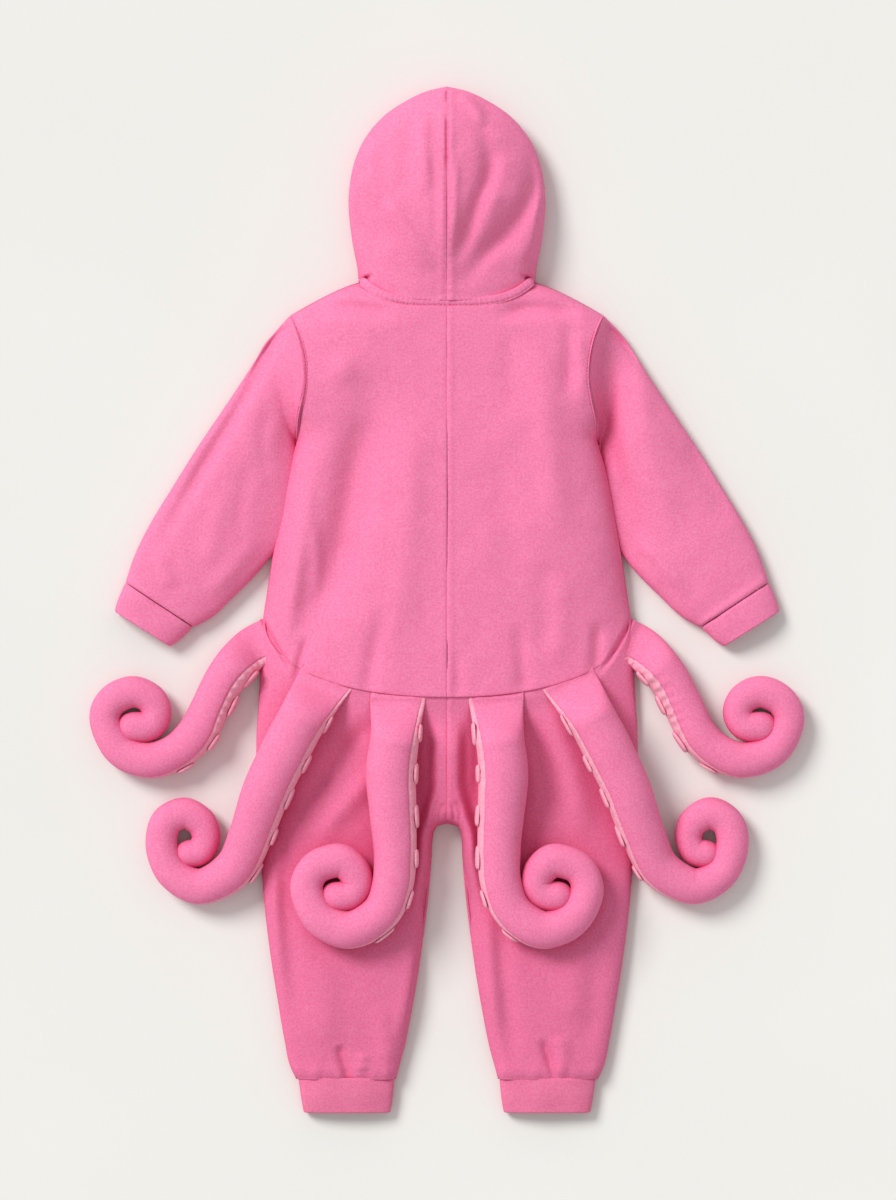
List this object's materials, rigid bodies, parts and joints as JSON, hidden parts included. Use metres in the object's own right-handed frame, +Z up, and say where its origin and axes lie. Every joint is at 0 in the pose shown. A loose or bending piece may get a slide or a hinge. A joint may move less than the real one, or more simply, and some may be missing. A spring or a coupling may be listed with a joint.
{
  "type": "hooded octopus costume suit",
  "caption": "Toddler's zip-up fleece suit with a hood, long sleeves, cuffed trouser legs and a ring of stuffed, curled tentacles sewn into the waist seam.",
  "frame": {"origin": "on the surface the suit lies on, under the middle of its outline", "axes": "+Z up out of the back, +Y towards the top of the hood, +X towards the wearer's right"},
  "size_m": [0.7156, 1.027, 0.0666],
  "materials": {
    "fleece": "brushed polyester fleece, bright pink, fine pebbled nap",
    "cuff_fleece": "folded band of the same brushed fleece",
    "pale_fleece": "brushed fleece, paler pink",
    "wadding": "loose polyester fibre filling",
    "tape": "woven zip tape",
    "nylon": "moulded nylon",
    "thread": "sewing thread",
    "label": "woven satin, blank"
  },
  "bodies": {
    "garment": {"bodice_back_left": "fleece", "bodice_back_right": "fleece", "bodice_front_left": "fleece", "bodice_front_right": "fleece", "trouser_back_left": "fleece", "trouser_back_right": "fleece", "trouser_front_left": "fleece", "trouser_front_right": "fleece", "ankle_cuff_left": "cuff_fleece", "ankle_cuff_right": "cuff_fleece", "neck_binding": "fleece", "care_label": "label", "seam_threads": "thread", "zip_tape_left": "tape", "zip_tape_right": "tape", "zip_teeth_left": "nylon", "zip_teeth_right": "nylon", "zip_stops": "nylon", "chin_guard": "fleece"},
    "slider": {"zip_slider": "nylon"},
    "pull": {"zip_pull": "nylon"},
    "hood": {"hood_left": "fleece", "hood_right": "fleece", "face_binding": "fleece"},
    "arm_left": {"sleeve_left": "fleece", "wrist_cuff_left": "cuff_fleece"},
    "arm_right": {"sleeve_right": "fleece", "wrist_cuff_right": "cuff_fleece"},
    "inner_left_tentacle": {"inner_left_top": "fleece", "inner_left_underside": "pale_fleece", "inner_left_filling": "wadding", "inner_left_suckers": "pale_fleece"},
    "middle_left_tentacle": {"middle_left_top": "fleece", "middle_left_underside": "pale_fleece", "middle_left_filling": "wadding", "middle_left_suckers": "pale_fleece"},
    "outer_left_tentacle": {"outer_left_top": "fleece", "outer_left_underside": "pale_fleece", "outer_left_filling": "wadding", "outer_left_suckers": "pale_fleece"},
    "inner_right_tentacle": {"inner_right_top": "fleece", "inner_right_underside": "pale_fleece", "inner_right_filling": "wadding", "inner_right_suckers": "pale_fleece"},
    "middle_right_tentacle": {"middle_right_top": "fleece", "middle_right_underside": "pale_fleece", "middle_right_filling": "wadding", "middle_right_suckers": "pale_fleece"},
    "outer_right_tentacle": {"outer_right_top": "fleece", "outer_right_underside": "pale_fleece", "outer_right_filling": "wadding", "outer_right_suckers": "pale_fleece"}
  },
  "joints": [
    {"name": "hood_fold", "type": "hinge", "parent": "garment", "child": "hood", "pos_m": [0, 0.3021, 0.042], "axis": [1, 0, 0], "range_deg": [0, 110]},
    {"name": "arm_left_lift", "type": "hinge", "parent": "garment", "child": "arm_left", "pos_m": [-0.15315, 0.2215, 0.0318], "axis": [-0.0588, 0.9983, 0], "range_deg": [0, 110]},
    {"name": "arm_right_lift", "type": "hinge", "parent": "garment", "child": "arm_right", "pos_m": [0.15315, 0.2215, 0.0318], "axis": [-0.0588, -0.9983, 0], "range_deg": [0, 110]},
    {"name": "inner_left_lift", "type": "hinge", "parent": "garment", "child": "inner_left_tentacle", "pos_m": [-0.0485, -0.0977, 0.0401], "axis": [-0.9992, 0.0316, -0.0245], "range_deg": [0, 90]},
    {"name": "inner_right_lift", "type": "hinge", "parent": "garment", "child": "inner_right_tentacle", "pos_m": [0.0485, -0.0977, 0.0401], "axis": [-0.9992, -0.0316, 0.0245], "range_deg": [0, 90]},
    {"name": "middle_left_lift", "type": "hinge", "parent": "garment", "child": "middle_left_tentacle", "pos_m": [-0.1225, -0.0806, 0.0345], "axis": [-0.9032, 0.4109, -0.124], "range_deg": [0, 60]},
    {"name": "middle_right_lift", "type": "hinge", "parent": "garment", "child": "middle_right_tentacle", "pos_m": [0.1225, -0.0806, 0.0345], "axis": [-0.9032, -0.4109, 0.124], "range_deg": [0, 60]},
    {"name": "outer_left_lift", "type": "hinge", "parent": "garment", "child": "outer_left_tentacle", "pos_m": [-0.17875, -0.03875, 0.01675], "axis": [-0.4205, 0.8517, -0.3127], "range_deg": [0, 50]},
    {"name": "outer_right_lift", "type": "hinge", "parent": "garment", "child": "outer_right_tentacle", "pos_m": [0.17875, -0.03875, 0.01675], "axis": [-0.4205, -0.8517, 0.3127], "range_deg": [0, 50]},
    {"name": "zip_run", "type": "slide", "parent": "garment", "child": "slider", "axis": [0, -1, 0], "range_m": [0, 0.415]},
    {"name": "pull_swing", "type": "hinge", "parent": "slider", "child": "pull", "pos_m": [0, 0.276, 0.0032], "axis": [1, 0, 0], "range_deg": [0, 150]}
  ]
}
